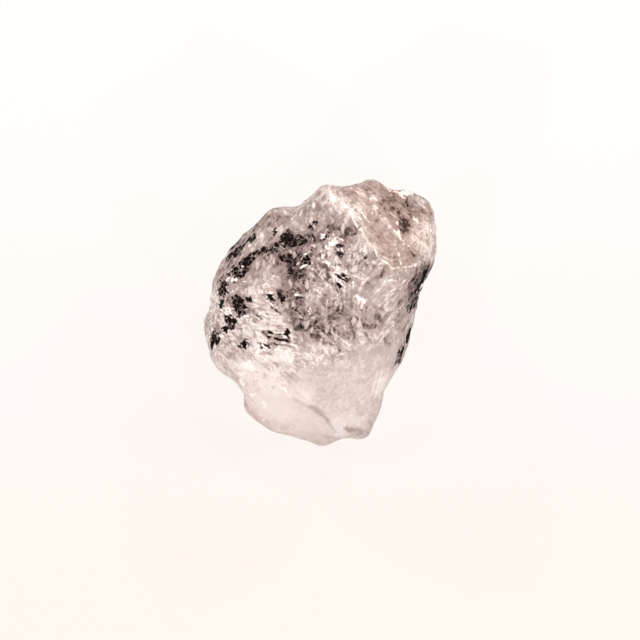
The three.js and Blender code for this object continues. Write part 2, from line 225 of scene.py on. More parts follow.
# White marks, most of them painted glints and highlights, the widest the glare at the top right:
WHITE = (
    (0.7, 5.2, 1.6, 5.6, 0.3), (0.9, 5.6, 1.4, 5.8, 0.2), (0.5, 5.0, 1.0, 4.8, 0.1),
    (0.1, 5.8, 0.3, 5.8, 0.14), (2.7, 1.2, 3.5, 0.75, 0.18), (2.6, 2.7, 2.9, 2.6, 0.16),
    (1.2, 3.4, 1.8, 3.25, 0.16), (1.65, 4.75, 2.1, 4.6, 0.14), (0.1, 4.0, 0.6, 3.65, 0.14),
    (2.5, 2.1, 2.6, 2.1, 0.18), (1.35, 1.25, 1.55, 1.25, 0.18), (-1.5, 0.7, -1.2, 0.7, 0.18),
    (-0.9, 0.1, -0.8, 0.1, 0.14), (-4.0, 1.45, -3.7, 1.55, 0.08), (-4.6, -2.8, -3.8, -2.75, 0.2),
    (-7.5, 2.6, -7.0, 2.7, 0.14), (-6.9, 1.4, -6.3, 1.8, 0.15), (-7.4, 0.3, -7.4, 0.0, 0.22),
    (5.3, 3.3, 5.55, 3.3, 0.2), (3.5, 3.75, 3.65, 3.75, 0.14), (3.1, 4.7, 3.5, 4.8, 0.12),
    (2.5, 9.6, 3.4, 9.0, 0.16), (3.9, 8.9, 4.25, 8.8, 0.34), (4.1, 8.0, 4.3, 8.2, 0.16),
    (0.6, 9.4, 1.2, 8.1, 0.3), (1.4, 8.2, 2.2, 8.0, 0.24), (2.3, 7.9, 2.6, 7.0, 0.2),
    (-0.7, 8.2, -0.5, 8.2, 0.12), (4.7, 7.15, 4.9, 7.15, 0.1), (2.9, 7.3, 3.0, 7.1, 0.1),
    (7.3, 7.4, 7.65, 7.05, 0.16), (8.15, 6.9, 8.2, 6.7, 0.12), (8.35, 6.5, 8.45, 6.4, 0.14),
    (6.0, 5.9, 6.25, 5.6, 0.12), (5.3, 9.75, 7.0, 9.5, 0.8), (6.0, 9.3, 6.7, 9.3, 0.6),
    (3.0, -0.35, 3.1, -0.35, 0.12), (3.1, 0.5, 3.2, 0.4, 0.12), (5.2, 2.4, 5.5, 2.5, 0.1),
    (-5.9, -4.0, -5.2, -4.2, 0.7), (-3.1, -3.1, -2.3, -3.6, 0.6), (-6.2, -5.3, -6.0, -5.8, 0.1),
    (-5.3, -6.4, -4.7, -6.7, 0.22), (-4.5, -8.2, -4.4, -8.5, 0.14), (-3.6, -2.9, -2.5, -2.9, 0.2),
    (-4.9, -3.2, -4.3, -3.6, 0.2), (-6.3, -4.7, -5.9, -5.0, 0.16), (-2.9, -5.9, -2.6, -6.1, 0.12),
    (-4.5, -7.1, -4.3, -7.3, 0.08), (-6.1, -0.25, -5.6, -0.3, 0.1), (-7.0, 0.6, -6.95, -0.1, 0.1),
    (-6.5, 2.45, -5.9, 2.3, 0.1), (-5.9, 1.55, -5.0, 1.45, 0.1), (-8.5, -1.3, -8.3, -1.3, 0.1),
    (-7.8, -1.8, -7.6, -1.9, 0.14), (-4.2, 6.0, -4.6, 5.95, 0.12),
)
# Thin dark streaks, whose edges are cleaner than those of the black marks:
STREAKS = (
    # a fan on the left side
    (-3.95, -1.5, -2.95, -1.78, 0.1), (-3.25, -1.45, -2.8, -1.7, 0.05), (-4.4, -1.66, -2.4, -2.32, 0.08),
    (-3.55, -1.98, -3.0, -2.1, 0.14), (-2.56, -1.25, -2.54, -1.75, 0.4), (-2.5, -1.6, -2.35, -2.0, 0.12),
    (-4.5, -2.6, -3.95, -2.55, 0.3), (-4.2, -2.5, -3.6, -2.8, 0.14), (-4.7, -2.72, -4.45, -2.78, 0.12),
    (-4.8, -2.4, -4.3, -2.56, 0.08), (-3.6, -2.3, -3.1, -2.45, 0.08), (-5.0, -0.2, -4.4, -0.6, 0.07),
    (-3.7, 0.5, -3.2, 0.0, 0.09), (-3.4, 0.2, -3.0, -0.2, 0.07), (-4.4, 0.2, -4.0, -0.1, 0.06),
    # upper left
    (-2.05, 3.65, -0.7, 4.85, 0.1), (-7.35, 4.8, -6.95, 5.5, 0.14), (-7.2, 4.25, -6.8, 4.85, 0.14),
    (-6.95, 4.7, -6.5, 5.2, 0.1), (-7.8, 2.2, -7.2, 2.5, 0.1), (-7.4, 1.9, -6.8, 2.3, 0.1),
    # the right edge
    (8.4, 3.2, 7.8, 2.6, 0.3), (7.9, 2.75, 7.4, 2.1, 0.26), (7.7, 2.4, 7.25, 1.6, 0.26),
    (8.2, 2.4, 7.85, 2.0, 0.2), (8.05, 1.95, 7.9, 0.9, 0.24), (7.2, 1.7, 6.75, 0.9, 0.16),
    (7.25, 0.7, 6.95, 0.35, 0.26), (6.9, 0.5, 6.7, 0.1, 0.16), (8.7, 3.9, 8.4, 3.3, 0.12),
)
# Bright lines: painted highlights along ridges and edges, and bright cracks:
BRIGHT_LINES = (
    # painted highlight along the ridge from the peak to the apex, and on to the right edge
    (0.5, 9.8, 0.9, 8.8, 0.2), (0.9, 8.8, 2.1, 8.1, 0.16), (2.3, 7.9, 2.6, 7.0, 0.18),
    (2.5, 7.1, 3.7, 5.4, 0.2), (3.5, 5.7, 3.9, 5.0, 0.2), (3.8, 5.1, 4.7, 3.9, 0.16),
    (4.6, 4.0, 5.5, 3.3, 0.16), (5.4, 3.4, 7.0, 3.5, 0.08), (6.9, 3.5, 7.8, 4.0, 0.08),
    (7.7, 4.0, 8.9, 4.4, 0.06), (8.15, 3.4, 7.2, 2.75, 0.1), (8.15, 2.55, 7.3, 1.45, 0.07),
    (7.8, 2.0, 7.35, 1.25, 0.06),
    # the tongue-shaped flake inside the blunt end, and the flakes beside it
    (5.6, 5.2, 6.0, 4.4, 0.16), (5.95, 4.6, 6.1, 3.8, 0.16), (5.55, 7.6, 5.75, 7.3, 0.12),
    (5.9, 6.9, 6.05, 6.1, 0.12), (5.65, 6.3, 5.85, 6.1, 0.16), (5.95, 6.0, 6.35, 5.5, 0.2),
    (6.3, 5.6, 7.0, 5.0, 0.04), (3.0, 8.0, 3.8, 6.9, 0.14),
    # fine cracks elsewhere
    (-0.76, 4.7, -1.94, 3.73, 0.03), (3.35, -2.9, 3.45, -3.9, 0.02), (-1.8, 3.3, -1.0, 3.7, 0.05),
    (-7.4, 3.1, -6.9, 3.3, 0.06), (-6.7, 2.5, -6.0, 2.9, 0.05), (-5.9, 1.7, -5.1, 1.9, 0.05),
    (-3.9, 0.75, -2.9, 0.2, 0.05), (-3.6, -1.45, -2.9, -1.55, 0.05), (-3.6, -1.8, -2.6, -1.95, 0.05),
    (-3.4, -2.25, -2.5, -2.5, 0.05), (-1.9, 1.35, -1.3, 1.2, 0.05), (-6.2, 3.9, -5.95, 3.25, 0.07),
    (-7.25, 1.95, -6.65, 2.6, 0.1), (-5.3, 5.3, -6.0, 4.7, 0.05), (3.9, 3.0, 3.5, 2.5, 0.05),
    (5.7, 1.9, 5.0, 1.2, 0.05), (6.6, 2.6, 5.9, 1.7, 0.05), (6.4, 0.8, 6.0, 0.3, 0.05),
    (0.9, -2.3, 1.4, -2.6, 0.05),
)
MARKS = {"black": BLACK, "streak": STREAKS, "dusky": DUSKY, "white": WHITE, "line": BRIGHT_LINES}

# Soft shade laid over the stone, seen from above: a stroke, its width, and how much darker (or paler) it is.
BASE_SHADE = 0.3  # where nothing is laid over it
BROKEN_SHADE = 0.065  # how much darker the broken surface is
SHADES = (
    # upper left: brown inside the rim, a paler patch behind the arcs
    (-7.4, 3.6, -4.5, 5.8, 3.6, 0.17), (-4.3, 3.5, -3.0, 4.6, 2.7, 0.2), (-5.6, 6.9, -4.0, 7.4, 1.7, 0.23),
    (-3.6, 7.3, -1.4, 7.4, 1.5, 0.05), (-5.4, 7.0, -4.6, 7.4, 1.4, 0.08), (-6.6, 5.7, -6.3, 2.3, 1.8, 0.16),
    (-4.9, 5.9, -4.5, 5.5, 1.4, -0.2), (-3.5, 5.9, -3.1, 5.4, 1.2, -0.15),
    (-8.1, 3.0, -7.9, 2.0, 1.4, 0.11), (-7.0, 5.2, -6.1, 6.1, 1.1, 0.22),
    (-5.6, 4.9, -6.7, 3.9, 0.6, -0.18),
    # the dark band down the middle
    (-2.9, 5.4, -2.0, 3.8, 2.4, 0.34), (-2.3, 3.4, -1.9, 0.6, 2.6, 0.29), (-1.8, 3.1, -1.5, 1.8, 1.6, 0.2),
    (-1.8, 0.6, -1.0, -1.4, 2.0, 0.27), (-3.4, 1.2, -3.0, 0.5, 1.4, 0.23),
    (-3.4, -2.1, -2.9, -2.6, 1.3, 0.22), (-3.4, 2.8, -3.0, 2.1, 1.2, -0.08),
    (-1.6, 1.0, 0.1, 0.7, 1.0, -0.09),
    # the crown, and the painted highlight on the ridge that runs from the peak to the apex
    (0.9, 8.8, 2.4, 7.4, 0.8, -0.18), (2.4, 7.4, 3.8, 5.2, 0.5, -0.14), (3.7, 5.4, 4.8, 3.9, 0.4, -0.12),
    (-1.0, 4.4, -0.4, 3.8, 2.0, 0.16), (0.4, 6.6, 2.3, 6.2, 1.8, 0.3), (-1.9, 5.7, -1.0, 5.5, 1.6, 0.42),
    (-0.6, 5.7, 1.4, 5.4, 1.6, 0.18), (-0.2, 4.2, 0.2, 3.8, 1.5, 0.1), (-0.3, 8.9, 0.4, 8.6, 1.2, -0.14),
    (1.6, 4.6, 3.2, 3.4, 1.6, 0.13), (1.5, 4.3, 1.8, 3.8, 1.3, 0.12), (1.4, 2.7, 1.8, 2.1, 1.4, -0.18),
    (0.6, 3.2, 1.4, 0.2, 2.8, 0.09), (0.2, -0.6, 1.2, -1.4, 2.2, 0.26), (-0.3, -0.6, 0.2, -1.1, 1.6, 0.15),
    (1.5, -0.6, 1.8, -1.0, 1.2, -0.15), (1.8, -0.6, 4.2, -0.9, 2.0, 0.17), (3.1, 0.9, 3.3, -1.2, 1.6, 0.21),
    (1.0, -2.3, 3.6, -2.6, 1.7, 0.15), (4.4, -2.2, 5.0, -2.6, 1.3, 0.06), (3.3, 4.3, 3.1, 2.2, 1.4, -0.07),
    # the blunt end
    (4.8, 8.8, 6.0, 8.1, 1.8, 0.28), (6.7, 7.1, 6.3, 6.3, 1.2, 0.52), (1.4, 9.5, 3.8, 9.6, 1.0, 0.12),
    (4.2, 6.2, 5.6, 4.2, 1.8, 0.14), (6.6, 4.6, 7.0, 4.4, 1.2, 0.18), (7.4, 6.2, 8.2, 5.0, 3.0, -0.23),
    (1.6, 8.3, 0.6, 9.0, 1.2, -0.14), (3.3, 5.2, 3.6, 5.6, 1.0, -0.1), (7.8, 9.0, 8.2, 8.6, 0.8, -0.2),
    (7.2, 9.6, 7.6, 9.3, 0.7, 0.34), (6.8, 8.6, 7.6, 7.8, 1.0, 0.26), (8.7, 8.6, 8.9, 7.4, 0.7, 0.28),
    (3.4, 8.7, 3.0, 7.1, 1.5, -0.1), (4.8, 7.8, 5.2, 7.0, 0.6, -0.12), (5.2, 7.3, 7.6, 6.9, 2.0, 0.1),
    (6.4, 4.9, 8.2, 4.2, 1.6, 0.08),
    # the right flank and its dark edge
    (8.3, 3.4, 7.1, 0.8, 1.4, 0.52), (8.2, 3.0, 7.7, 1.6, 1.6, 0.68), (6.4, 3.3, 6.3, -1.2, 1.5, 0.17),
    (6.9, -1.8, 6.2, -3.6, 1.0, 0.34),
    # the left side
    (-8.5, 1.3, -8.3, 0.3, 1.3, -0.33), (-8.3, -2.2, -8.1, -4.0, 1.3, -0.2),
    (-6.2, -0.9, -4.0, -0.6, 3.2, -0.26), (-4.6, 2.3, -4.2, 1.8, 2.2, -0.08),
    (-6.4, 0.9, -5.9, 0.2, 1.7, 0.68), (-5.0, -2.2, -4.6, -2.4, 1.4, -0.24),
    (-6.2, -3.9, -4.4, -4.6, 2.6, -0.26), (-3.0, -3.6, -2.6, -4.0, 2.0, -0.25),
    (-4.9, -5.5, -3.3, -5.8, 2.4, -0.18),
    # the pale front
    (-3.4, -8.0, -1.0, -9.0, 4.6, -0.22), (-5.6, -6.2, -3.2, -7.4, 2.4, -0.2),
    (-1.3, -3.2, -1.1, -6.5, 1.6, -0.08), (1.8, -4.0, 2.0, -7.6, 5.6, -0.13),
    (4.8, -5.2, 4.7, -5.9, 1.4, -0.08), (1.3, -8.6, 3.4, -8.7, 1.3, -0.13),
    (1.3, -9.2, 1.7, -9.4, 1.0, -0.14), (2.2, -9.2, 3.6, -9.3, 1.4, 0.05),
    # painted shadow in the crease that runs down to the toe, the corner beside it and the fine lines on the
    # right
    (-2.1, -6.6, -0.9, -7.4, 0.3, 0.1), (-0.7, -7.3, 0.1, -7.8, 0.45, 0.24),
    (0.2, -8.0, 1.2, -9.3, 0.3, 0.14), (0.3, -8.1, 0.7, -8.4, 0.3, 0.1), (1.9, -9.0, 2.6, -9.2, 0.4, 0.2),
    (3.0, -9.2, 3.3, -9.6, 0.4, 0.2), (3.8, -8.6, 4.1, -8.8, 0.36, 0.24),
    (1.2, -9.9, 2.9, -10.1, 0.3, 0.12), (-1.95, -2.6, -1.8, -4.6, 0.3, 0.08),
    (3.9, -6.4, 4.4, -4.6, 0.14, -0.1), (4.2, -6.6, 4.75, -4.4, 0.14, -0.14),
    (4.5, -6.6, 5.0, -4.3, 0.14, -0.14), (4.8, -6.2, 5.25, -4.2, 0.14, -0.12),
    # brown round the black arcs
    (-2.2, 5.5, -4.9, 4.7, 1.0, 0.14), (-5.4, 4.2, -7.4, 2.0, 0.9, 0.14), (-7.5, 0.9, -6.8, -1.3, 0.9, 0.1),
    (-5.2, 5.7, -7.1, 4.0, 0.8, 0.14), (-8.1, -1.4, -8.4, -2.4, 0.7, 0.14),
    (-4.3, -1.7, -2.7, -2.3, 0.6, 0.1),
)
# Strokes of warmer and of cooler colour: x, y, x, y, width, and 1 for all warm or -1 for all cool.
TINTS = (
    (1.2, 9.6, 5.6, 9.0, 2.6, 1), (4.6, 8.6, 6.6, 7.0, 2.6, 1), (4.0, 6.6, 5.8, 4.2, 2.4, 1),
    (6.8, 4.8, 8.4, 7.6, 2.4, 1), (-4.6, -6.2, -2.4, -8.6, 4.0, 0.35), (2.0, -3.6, 2.8, -8.0, 4.6, -0.8),
    (1.3, -9.2, 1.7, -9.4, 1.2, -1), (4.8, 1.6, 5.6, -1.2, 3.0, -0.5),
)


# -------------------- fields

# Numbers that scramble the bits of a cell's place, and what is added to a seed for each further number.
HASH_PRIME = 7919
HASH_FACTOR = np.uint32(0x2C1B3C6D)
HASH_SHIFT = np.uint32(15)
BOTTOM_SEEDS = (0, 10, 20)  # for the x, y and z of a dish's bottom
LIFT_SEED = 50

SHORTEST = 1e-9  # keeps a stroke of no length from dividing by 0


def cell_random(cells, salt):
    """A repeatable random number from 0 to 1 for each grid cell, given as whole numbers."""
    mixed = np.full(cells.shape[:-1], salt * HASH_PRIME + 1, np.uint32)
    for i in range(3):
        mixed = (mixed ^ cells[..., i].astype(np.uint32)) * HASH_FACTOR
        mixed ^= mixed >> HASH_SHIFT
    return mixed.astype(np.float64) / 2**32


def dishes(points, size, seed):
    """Height in shallow dishes that meet in sharp ridges, in dish sizes: 0 at the deepest bottoms."""
    scaled = points / size
    corner = np.floor(scaled).astype(np.int64)
    height = np.full(len(scaled), np.inf)
    for step in np.ndindex(3, 3, 3):
        cell = corner + np.array(step) - 1
        bottom = cell + np.stack([cell_random(cell, seed + extra) for extra in BOTTOM_SEEDS], axis=-1)
        lift = DISH_LIFT * cell_random(cell, seed + LIFT_SEED)
        height = np.minimum(height, lift + DISH_STEEPNESS * ((scaled - bottom) ** 2).sum(axis=1))
    return height


def carved(height):
    """How deep a dish is carved at a height in it, in dish sizes."""
    return np.clip(DISH_RIM - height, 0, None)


def soft_noise(points, size, seed):
    """Smooth noise from 0 to 1, with bumps about one size across."""
    scaled = points / size
    corner = np.floor(scaled).astype(np.int64)
    share = scaled - corner
    share = share * share * (3 - 2 * share)
    total = np.zeros(len(scaled))
    for step in np.ndindex(2, 2, 2):
        weight = np.prod(np.where(np.array(step), share, 1 - share), axis=1)
        total += weight * cell_random(corner + np.array(step), seed)
    return total


def soft_shift(points, size, seed):
    """A smooth random shift for each point, of up to half a unit along each axis."""
    return np.stack([soft_noise(points, size, seed + axis) - 0.5 for axis in range(3)], axis=-1)


def ramp(values, low, high):
    """0 at low, 1 at high, and smooth between."""
    share = np.clip((values - low) / (high - low), 0, 1)
    return share * share * (3 - 2 * share)


def stretched(points, along, stretch):
    """The points squeezed together along a direction, so that a pattern read there is drawn out."""
    axis = np.array(along) / np.linalg.norm(along)
    return points + np.outer(points @ axis, axis) * (1 / stretch - 1)


def region_shares(points):
    """How much each region counts at each point."""
    moved = points + BORDER_REACH * soft_shift(points, *BORDER_NOISE)
    shares = []
    for region in REGIONS:
        away = moved - np.array(region["at"])
        distance = (away**2 * np.array([1, 1, HEIGHT_WEIGHT])).sum(axis=1)
        shares.append(-distance / REGION_BLEND)
    shares = np.array(shares)
    shares = np.exp(shares - shares.max(axis=0))
    return shares / shares.sum(axis=0)


def strength(shares, key):
    """How strong the fibres or the contrast are at each point, from the regions' shares."""
    return sum(share * region[key] for share, region in zip(shares, REGIONS))


def way_share(shares, way):
    """How much the fibres run one way at each point, from the regions' shares."""
    return sum(share for share, region in zip(shares, REGIONS) if region["way"] == way)


def brokenness(points):
    """How rough the surface is: 1 on the crown, the left and the blunt end, and low on the pale front."""
    x, y, z = points.T
    edge = FRONT_EDGE + FRONT_WANDER * (soft_noise(points, *FRONT_EDGE_NOISE) - 0.5) + FRONT_SLOPE * x
    front = 1 - ramp(y, edge - FRONT_BLEND, edge + FRONT_BLEND)
    above = ramp(z, *FRONT_FOOT)
    return 1 - FRONT_SMOOTHNESS * front * above


def inside_stroke(points, stroke):
    """How far each point lies inside a stroke seen from above, in mm: below 0 is outside.

    The stroke is widest in the middle and runs out to blunt points, as a splinter does.
    """
    x, y, end_x, end_y, width = stroke
    start = np.array([x, y])
    along = np.array([end_x, end_y]) - start
    away = points[:, :2] - start
    share = np.clip(away @ along / max(along @ along, SHORTEST), 0, 1)
    off = np.abs(away - share[:, None] * along)
    # Lines of the same distance are eight-sided, so that the marks end in corners.
    distance = 0.5 * (off.sum(axis=1) + off.max(axis=1))
    taper = 1 - TAPER * (2 * share - 1) ** 2
    return width / 2 * taper - distance


def inside_strokes(points, strokes):
    """How far each point lies inside the nearest of the strokes."""
    return np.max([inside_stroke(points, stroke) for stroke in strokes], axis=0)


def soft_strokes(points, strokes):
    """The sum of soft strokes, each of which fades out at half its width outside its edge.

    The last number of each stroke is how much it adds in its middle.
    """
    total = np.zeros(len(points))
    for *stroke, amount in strokes:
        half = stroke[-1] / 2
        total += amount * ramp(inside_stroke(points, stroke), -half, half)
    return total


# -------------------- the stone's mesh


def refined_copy(node):
    """The CAD node's mesh, welded and subdivided, with its sharper edges kept."""
    mesh = node.data.copy()
    mesh.name = "morganite"
    work = bmesh.new()
    work.from_mesh(mesh)
    bmesh.ops.remove_doubles(work, verts=work.verts, dist=WELD * MM)
    crease = work.edges.layers.float.get("crease_edge") or work.edges.layers.float.new("crease_edge")
    for edge in work.edges:
        bend = edge.calc_face_angle(0.0)
        edge[crease] = min(max((bend - SOFT_CREASE) / (SHARP_CREASE - SOFT_CREASE), 0.0), 1.0)
    work.to_mesh(mesh)
    work.free()
    stone = bpy.data.objects.new("morganite", mesh)
    bpy.context.scene.collection.objects.link(stone)
    smooth = stone.modifiers.new("smooth", "SUBSURF")
    smooth.levels = SUBDIVISIONS
    smooth.render_levels = SUBDIVISIONS
    smooth.boundary_smooth = "ALL"
    graph = bpy.context.evaluated_depsgraph_get()
    fine = bpy.data.meshes.new_from_object(stone.evaluated_get(graph))
    stone.modifiers.clear()
    stone.data = fine
    return stone


def points_of(mesh):
    """The mesh's corners, in millimetres."""
    flat = np.zeros(len(mesh.vertices) * 3)
    mesh.vertices.foreach_get("co", flat)
    return flat.reshape(-1, 3) / MM


def normals_of(mesh):
    """The way that the surface faces at each corner."""
    flat = np.zeros(len(mesh.vertices) * 3, np.float32)
    mesh.vertex_normals.foreach_get("vector", flat)
    return flat.reshape(-1, 3).astype(float)


def dish_depth(points, rough):
    """How deep the dishes are carved, drawn out along the fibres of each region."""
    depth = np.zeros(len(points))
    shares = region_shares(points)
    for layer in RELIEF:
        height = np.zeros(len(points))
        for way, along in WAYS.items():
            drawn_out = stretched(points, along, DISH_STRETCH)
            height += way_share(shares, way) * dishes(drawn_out, layer["size"], layer["seed"])
        depth += rough * layer["depth"] * layer["size"] * carved(height)
    return depth


def striation_depth(points, rough):
    """How deep the growth lines are carved."""
    across = dishes(stretched(points, STRIATION_AXIS, STRIATION_STRETCH), STRIATION_SPACING, STRIATION_SEED)
    return STRIATION_DEPTH * (1 - STRIATION_LOSS * rough) * carved(across) / DISH_RIM


def ledge_depth(points, normals):
    """How deep the ledges of the prism face are carved: each gets deeper up to its line, and starts anew."""
    line = soft_noise(stretched(points, STRIATION_AXIS, LEDGE_STRETCH), *LEDGE_LINE_NOISE)
    level = points[:, 2] / LEDGE_HEIGHT + LEDGE_WANDER * line
    facing = ramp(normals @ PRISM_NORMAL, *PRISM_FACING)
    return LEDGE_DEPTH * soft_noise(points, *LEDGE_DEPTH_NOISE) * facing * (level - np.floor(level))


def roughen(stone):
    """Carves the fine relief: moves the surface inwards along its normals, inside the solid's box."""
    mesh = stone.data
    points = points_of(mesh)
    normals = normals_of(mesh)
    rough = brokenness(points)
    depth = dish_depth(points, rough)
    depth += striation_depth(points, rough)
    depth += ledge_depth(points, normals)
    moved = points - normals * depth[:, None]
    low, high = [np.array(corner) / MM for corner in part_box("crystal")]
    moved = np.clip(moved, low, high)
    mesh.vertices.foreach_set("co", (moved * MM).ravel())
    mesh.update()
    for polygon in mesh.polygons:
        polygon.use_smooth = True


# -------------------- what the material reads from the mesh


def keep_field(stone, name, values):
    """Keeps a number or a vector for each vertex, which the material reads by its name."""
    kind, key = ("FLOAT", "value") if values.ndim == 1 else ("FLOAT_VECTOR", "vector")
    attribute = stone.data.attributes.new(name, kind, "POINT")
    attribute.data.foreach_set(key, values.astype(np.float32).ravel())


def faded_out(points):
    """How far the marks that run down a wall have faded out: 1 below their ragged end."""
    ragged = soft_noise(stretched(points, STRIATION_AXIS, RAGGED_STRETCH), *RAGGED_END_NOISE)
    return ramp(points[:, 2] + RAGGED_END * (ragged - 0.5), *MARKS_END)


def paint_grain(stone, points, low):
    """Keeps where each pattern is read, and how broken, fibrous and mottled the stone is."""
    shares = region_shares(points)
    keep_field(stone, "place", points)
    for way, along in WAYS.items():
        keep_field(stone, f"{way} place", stretched(points, along, FIBRE_STRETCH))
        keep_field(stone, f"{way} share", way_share(shares, way))
    keep_field(stone, "fibrous", strength(shares, "fibres") * (1 - LOW_LOSS["fibres"] * low))
    keep_field(stone, "contrast", strength(shares, "contrast") * (1 - LOW_LOSS["contrast"] * low))
    keep_field(stone, "broken", brokenness(points))


def paint_marks(stone, points, top, wall):
    """Keeps how far each point lies inside the marks of each kind."""
    wander = soft_noise(points, *WANDER_NOISE) - 0.5
    slide = wall * (LEAN * (LEAN_TOP - points[:, 2]) + WANDER * wander)
    crooked = points + CROOK_REACH * soft_shift(points, *CROOK_NOISE)
    drawn = crooked + np.outer(slide, STRIATION_AXIS)
    gaps = BREAK_UP * wall * soft_noise(points, *BREAK_UP_NOISE)
    hidden = HIDE_UNDER * (1 - top) + HIDE_LOW * faded_out(points) + gaps
    for name, strokes in MARKS.items():
        keep_field(stone, name, np.maximum(inside_strokes(drawn, strokes), FAR_OUTSIDE) - hidden)


def paint_shade(stone, points, facing, top, wall, low):
    """Keeps how dark and how warm the stone is, apart from its marks."""
    under = ramp(-facing, *UNDER_FACING)
    shade = BASE_SHADE + BROKEN_SHADE * brokenness(points)
    shade *= (1 - UNDER_LOSS * under) * (1 - LOW_LOSS["shade"] * low)
    seen = top * (1 - LOW_LOSS["shade strokes"] * low) * (1 - WALL_LOSS * faded_out(points) * wall)
    keep_field(stone, "shade", shade + soft_strokes(points, SHADES) * seen)
    keep_field(stone, "tint", np.clip(soft_strokes(points, TINTS), -1, 1) * top)


def paint_fields(stone):
    """Keeps on the mesh its breaks, shade, painted dark reflections and highlights, for the material to read.
    """
    points = points_of(stone.data)
    facing = normals_of(stone.data)[:, 2]
    top = ramp(facing, *TOP_FACING)
    wall = ramp(facing, *WALL_FACING)
    low = ramp(points[:, 2], *LOW_HEIGHTS)
    paint_grain(stone, points, low)
    paint_marks(stone, points, top, wall)
    paint_shade(stone, points, facing, top, wall, low)


# -------------------- materials

# The colour of the stone for each shade, from clear to black, and the tints from cool to warm.
SHADE_STOPS = (
    (0.0, (0.96, 0.9, 0.87)),
    (0.17, (0.93, 0.82, 0.79)),
    (0.3, (0.84, 0.73, 0.69)),
    (0.5, (0.5, 0.385, 0.36)),
    (0.75, (0.16, 0.11, 0.1)),
    (1.0, (0.006, 0.002, 0.0015)),
)
TINT_STOPS = (
    (0.0, (0.96, 0.985, 1.0)),
    (0.5, (1.0, 1.0, 1.0)),
    (1.0, (1.0, 0.9, 0.86)),
)

# The random patterns and their sizes. Shards, chips and splinters are cells with one random number each, and
# the warp bends their borders.
SHARD_SIZE = 0.95
CHIP_SIZE = 0.36
SPLINTER_SIZE = 0.25
SPLINTER_SQUEEZE = (1.0, 0.45, 1.0)  # reads their pattern closer along Y, which makes them longer that way
WARP = {"size": 1.1, "detail": 2.0, "roughness": 0.55}
WARP_REACH = (0.35, 0.35, 0.35)
CLOUD = {"size": 0.9, "detail": 4.0, "roughness": 0.6}
FINE = {"size": 0.16, "detail": 3.0, "roughness": 0.7}
FIBRE_CELL_SIZE = 0.22
FIBRE_NOISE = {"size": 0.17, "detail": 2.0, "roughness": 0.6}
MIDDLE = (0.5, 0.5, 0.5)  # of the random colours, each from 0 to 1

# How much each pattern counts in the fibres, in the jagged edges of the marks and in the mottling.
FIBRE_WEIGHTS = {"cell": 0.4, "noise": 0.8}
JAG_WEIGHTS = {"chip": 0.3, "splinter": 0.25, "fine": 0.12}
MOTTLE_WEIGHTS = {"shard": 0.16, "chip": 0.3, "splinter": 0.34, "cloud": 0.6, "fine": 0.7}

# What shifts the edges of each kind of mark, and how much. The grain is the fibres at the region's strength.
MARK_SHIFTS = {
    "black": {"jag": 0.5, "fibre": 0.6},
    "streak": {"jag": 0.2, "fibre": 0.15},
    "dusky": {"jag": 1.0},
    "white": {"jag": 0.9, "grain": 0.9},
    "line": {"jag": 0.35},
}
# How far inside the shifted edge each kind of mark begins to show, and where it shows in full.
MARK_EDGES = {
    "black": (-0.1, -0.01),
    "streak": (-0.05, 0.0),
    "dusky": (-0.12, 0.05),
    "white": (-0.03, 0.05),
    "line": (-0.035, 0.02),
}
DUSKY_SHADE = 0.26  # how much darker the dusky marks are
GRAIN_SHADE = 1.3  # and the fibres

# Each pair says where something begins, and where it is full. Cracks lie where chips meet: in some clouds
# they cut up the black marks, in others they glow as painted highlights. Sparkles are painted glints, each
# one splinter, and the rim is a painted bright rim round the black marks.
CRACK_WIDTH = (0.05, 0.015)
CRACK_CLOUDS = (0.47, 0.55)
GLOW_WIDTH = (0.07, 0.02)
GLOW_CLOUDS = (0.6, 0.45)
CRISP_CONTRAST = (0.5, 1.2)  # the contrast that a region needs for bright cracks and for all of its painted sparkles
SPARKLE_SPLINTERS = (0.885, 0.915)
RIM_DEPTH = (-0.18, -0.09)
RIM_SPLINTERS = (0.6, 0.65)
PLAIN_SPARKLES = 0.2  # how strong the painted sparkles are elsewhere
BRIGHTNESS = {"glow": 0.55, "sparkle": 0.7, "rim": 0.6}  # how much of the shade each painted highlight takes away

# Outside the black flaws, shades above this one grow more slowly, so that they stay brown.
DARK_SHADE = 0.66
BROWN_RANGE = 0.65

# The surface: how far its chips tilt, how far the normal turns up under black marks, and its finest relief
CHIP_TILT = 0.35
BLACK_UPTURN = 0.7
BUMP_HEIGHT = 0.05
BUMP_STRENGTH = 0.6
# The roughness is the sum of these, each for its part of the surface.
BASE_ROUGHNESS = 0.28
BROKEN_ROUGHNESS = -0.14
BLACK_ROUGHNESS = 0.15
# How the light goes through
IOR = 1.58
SPECULAR_LEVEL = 0.06
TRANSMISSION = 0.78
CLEAR_SHADES = (0.75, 0.3)  # shades from opaque to clear
MILKY_SHADES = (0.0, 0.36)  # and shades from the palest, which are milky, to clear
MILKY_CLEARNESS = 0.35
OPACITY = {"line": 0.8, "sparkle": 0.7}  # the white marks are opaque in full
BODY_COLOUR = (0.9, 0.8, 0.78, 1)  # what the clear body lets through best
BODY_DENSITY = 20.0  # per metre


